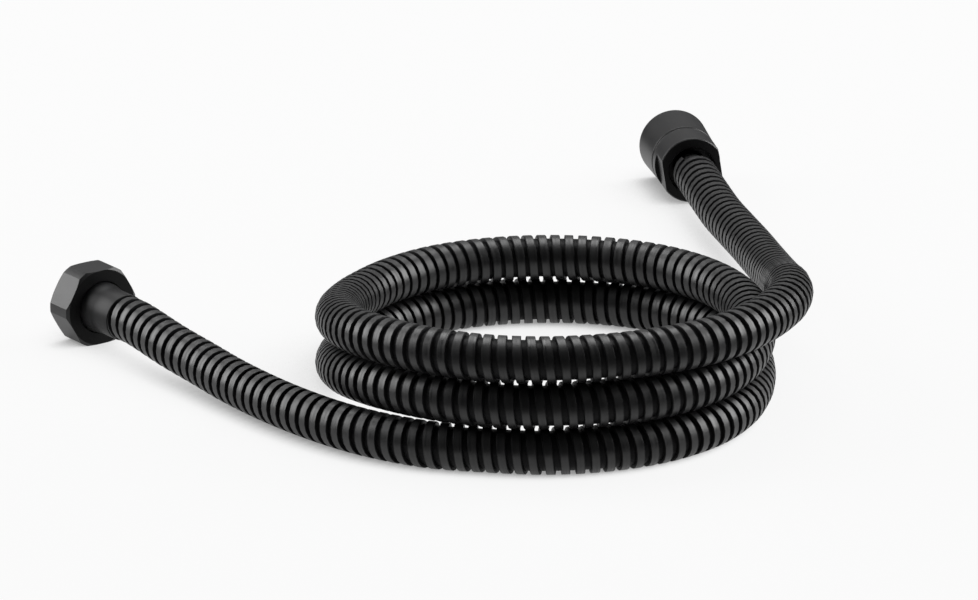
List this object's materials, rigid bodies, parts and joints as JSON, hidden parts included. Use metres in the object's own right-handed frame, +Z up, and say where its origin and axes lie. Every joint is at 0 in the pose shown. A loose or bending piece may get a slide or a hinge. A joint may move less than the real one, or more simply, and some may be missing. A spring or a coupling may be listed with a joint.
{
  "type": "flexible shower hose",
  "caption": "Black spiral wound metal shower hose, loosely coiled, with a hexagon swivel nut at the wall end and a conical swivel nut at the handset end.",
  "frame": {"origin": "middle of the bounding box, on the floor that the coiled hose lies on", "axes": "+Z up; the handset end lies towards +Y and the wall end towards -X; the coil is on the -Y side"},
  "size_m": [0.2326, 0.2986, 0.0418],
  "materials": {
    "black_jacket": "satin black coating on wound steel strip",
    "black_fittings": "satin black coating on brass",
    "bare_brass": "turned, bare",
    "black_rubber": "matte"
  },
  "bodies": {
    "hose": {"outer_jacket": "black_jacket", "inner_hose": "black_rubber", "wall_nipple": "bare_brass", "wall_ferrule": "black_fittings", "handset_nipple": "bare_brass", "handset_ferrule": "black_fittings"},
    "wall_nut": {"wall_nut": "black_fittings", "wall_washer": "black_rubber"},
    "handset_nut": {"handset_nut": "black_fittings", "handset_washer": "black_rubber"}
  },
  "joints": [
    {"name": "wall_nut_swivel", "type": "hinge", "parent": "hose", "child": "wall_nut", "pos_m": [-0.10025, -0.02456, 0.0118], "axis": [0.6, -0.8, 0], "continuous": true},
    {"name": "handset_nut_swivel", "type": "hinge", "parent": "hose", "child": "handset_nut", "pos_m": [0.08495, 0.11634, 0.0115], "axis": [0.181, -0.9835, 0], "continuous": true}
  ]
}
